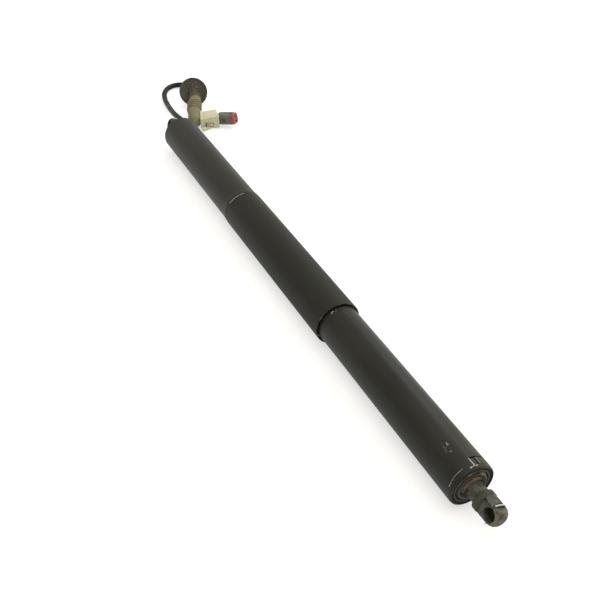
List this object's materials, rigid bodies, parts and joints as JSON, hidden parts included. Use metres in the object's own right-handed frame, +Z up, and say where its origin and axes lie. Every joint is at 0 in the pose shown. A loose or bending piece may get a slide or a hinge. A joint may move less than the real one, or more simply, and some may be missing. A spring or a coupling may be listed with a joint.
{
  "type": "linear actuator",
  "caption": "Powered tailgate strut: motor, gearbox and spindle in telescoping tubes, a ball socket at each end and a short sealed harness.",
  "frame": {"origin": "under the middle of the strut's length, on the surface that it lies on", "axes": "+X from the motor end to the rod end, +Z up, +Y towards the side that the harness lies on"},
  "size_m": [0.7344, 0.0996, 0.0398],
  "materials": {
    "tube_paint": "satin black paint, dusty",
    "sleeve_coating": "matte black coating, dusty",
    "socket_plastic": "glass-filled plastic, worn",
    "steel": "bare steel, oiled",
    "zinc": "zinc plated",
    "rusty_steel": "surface rust",
    "carbon": "sintered, matte",
    "copper": "enamelled winding",
    "brass": "plain",
    "nylon": "natural",
    "rubber": "matte",
    "cable_jacket": "satin jacket",
    "grommet_rubber": "dusty moulded rubber",
    "boot_rubber": "dusty moulded rubber",
    "cream_plastic": "moulded, aged",
    "green_silicone": "satin",
    "grey_plastic": "moulded",
    "red_plastic": "moulded"
  },
  "bodies": {
    "housing": {"motor_tube": "tube_paint", "sleeve": "sleeve_coating", "mouth_bush": "nylon", "motor_socket": "socket_plastic", "motor_end_cap": "socket_plastic", "cable_gland": "rubber", "damper_pad": "rubber", "brush_holder": "nylon", "brush_left": "carbon", "brush_right": "carbon", "motor_can": "steel", "magnet_upper": "carbon", "magnet_lower": "carbon", "motor_front_plate": "zinc", "ring_gear": "nylon", "brake_ring": "rubber", "bearing_outer_race": "steel", "bearing_cage": "brass", "bearing_retainer": "steel", "spring_seat": "socket_plastic", "guide_tube": "nylon", "return_spring": "steel", "harness_cable": "cable_jacket", "grommet": "grommet_rubber", "harness_boot": "boot_rubber", "connector_shell": "cream_plastic", "connector_seal": "green_silicone", "connector_housing": "grey_plastic"},
    "rod": {"rod_tube": "tube_paint", "slide_bush": "nylon", "push_tube": "steel", "spindle_nut": "nylon", "rod_end_cap": "socket_plastic", "rod_washer": "rusty_steel", "rod_socket": "socket_plastic"},
    "spindle": {"planet_carrier": "steel", "drive_coupling": "zinc", "bearing_inner_race": "steel", "spindle": "steel"},
    "rotor": {"armature_shaft": "steel", "armature_core": "copper", "commutator": "copper", "sun_gear": "brass"},
    "planet_1": {"planet_gear_1": "nylon"},
    "planet_2": {"planet_gear_2": "nylon"},
    "planet_3": {"planet_gear_3": "nylon"},
    "rod_clip": {"rod_clip": "zinc"},
    "motor_clip": {"motor_clip": "zinc"},
    "latch": {"connector_latch": "cream_plastic"},
    "wedge": {"connector_wedge": "red_plastic"}
  },
  "joints": [
    {"name": "extend", "type": "slide", "parent": "housing", "child": "rod", "axis": [1, 0, 0], "range_m": [-0.155, 0], "deforming": ["return_spring"]},
    {"name": "spindle_turn", "type": "hinge", "parent": "housing", "child": "spindle", "pos_m": [0, 0, 0.0199], "axis": [1, 0, 0], "range_deg": [-3497.5, 0]},
    {"name": "armature_turn", "type": "hinge", "parent": "housing", "child": "rotor", "pos_m": [0, 0, 0.0199], "axis": [1, 0, 0], "range_deg": [-13960, 0]},
    {"name": "planet_turn_1", "type": "hinge", "parent": "spindle", "child": "planet_1", "pos_m": [-0.157, 0.009, 0.0199], "axis": [1, 0, 0], "range_deg": [0, 10472.5]},
    {"name": "planet_turn_2", "type": "hinge", "parent": "spindle", "child": "planet_2", "pos_m": [-0.157, -0.0045, 0.0277], "axis": [1, 0, 0], "range_deg": [0, 10472.5]},
    {"name": "planet_turn_3", "type": "hinge", "parent": "spindle", "child": "planet_3", "pos_m": [-0.157, -0.0045, 0.01211], "axis": [1, 0, 0], "range_deg": [0, 10472.5]},
    {"name": "rod_clip_release", "type": "slide", "parent": "rod", "child": "rod_clip", "axis": [0, 0.9272, -0.3746], "range_m": [0, 0.001], "stiffness_N_per_m": 400},
    {"name": "motor_clip_release", "type": "slide", "parent": "housing", "child": "motor_clip", "axis": [0, 0.9272, -0.3746], "range_m": [0, 0.001], "stiffness_N_per_m": 400},
    {"name": "latch_flex", "type": "hinge", "parent": "housing", "child": "latch", "pos_m": [-0.30396, 0.05065, 0.0053], "axis": [0, 0, 1], "range_deg": [-3, 0], "stiffness_Nm_per_rad": 0.05},
    {"name": "wedge_pull", "type": "slide", "parent": "housing", "child": "wedge", "axis": [0.7432, 0.6461, 0.1736], "range_m": [0, 0.003]}
  ],
  "couplings": [
    {"joint": "spindle_turn", "follows": "extend", "rad_per_m": 392.7},
    {"joint": "armature_turn", "follows": "extend", "rad_per_m": 1570.8},
    {"joint": "planet_turn_1", "follows": "extend", "rad_per_m": -1178.1},
    {"joint": "planet_turn_2", "follows": "extend", "rad_per_m": -1178.1},
    {"joint": "planet_turn_3", "follows": "extend", "rad_per_m": -1178.1}
  ]
}
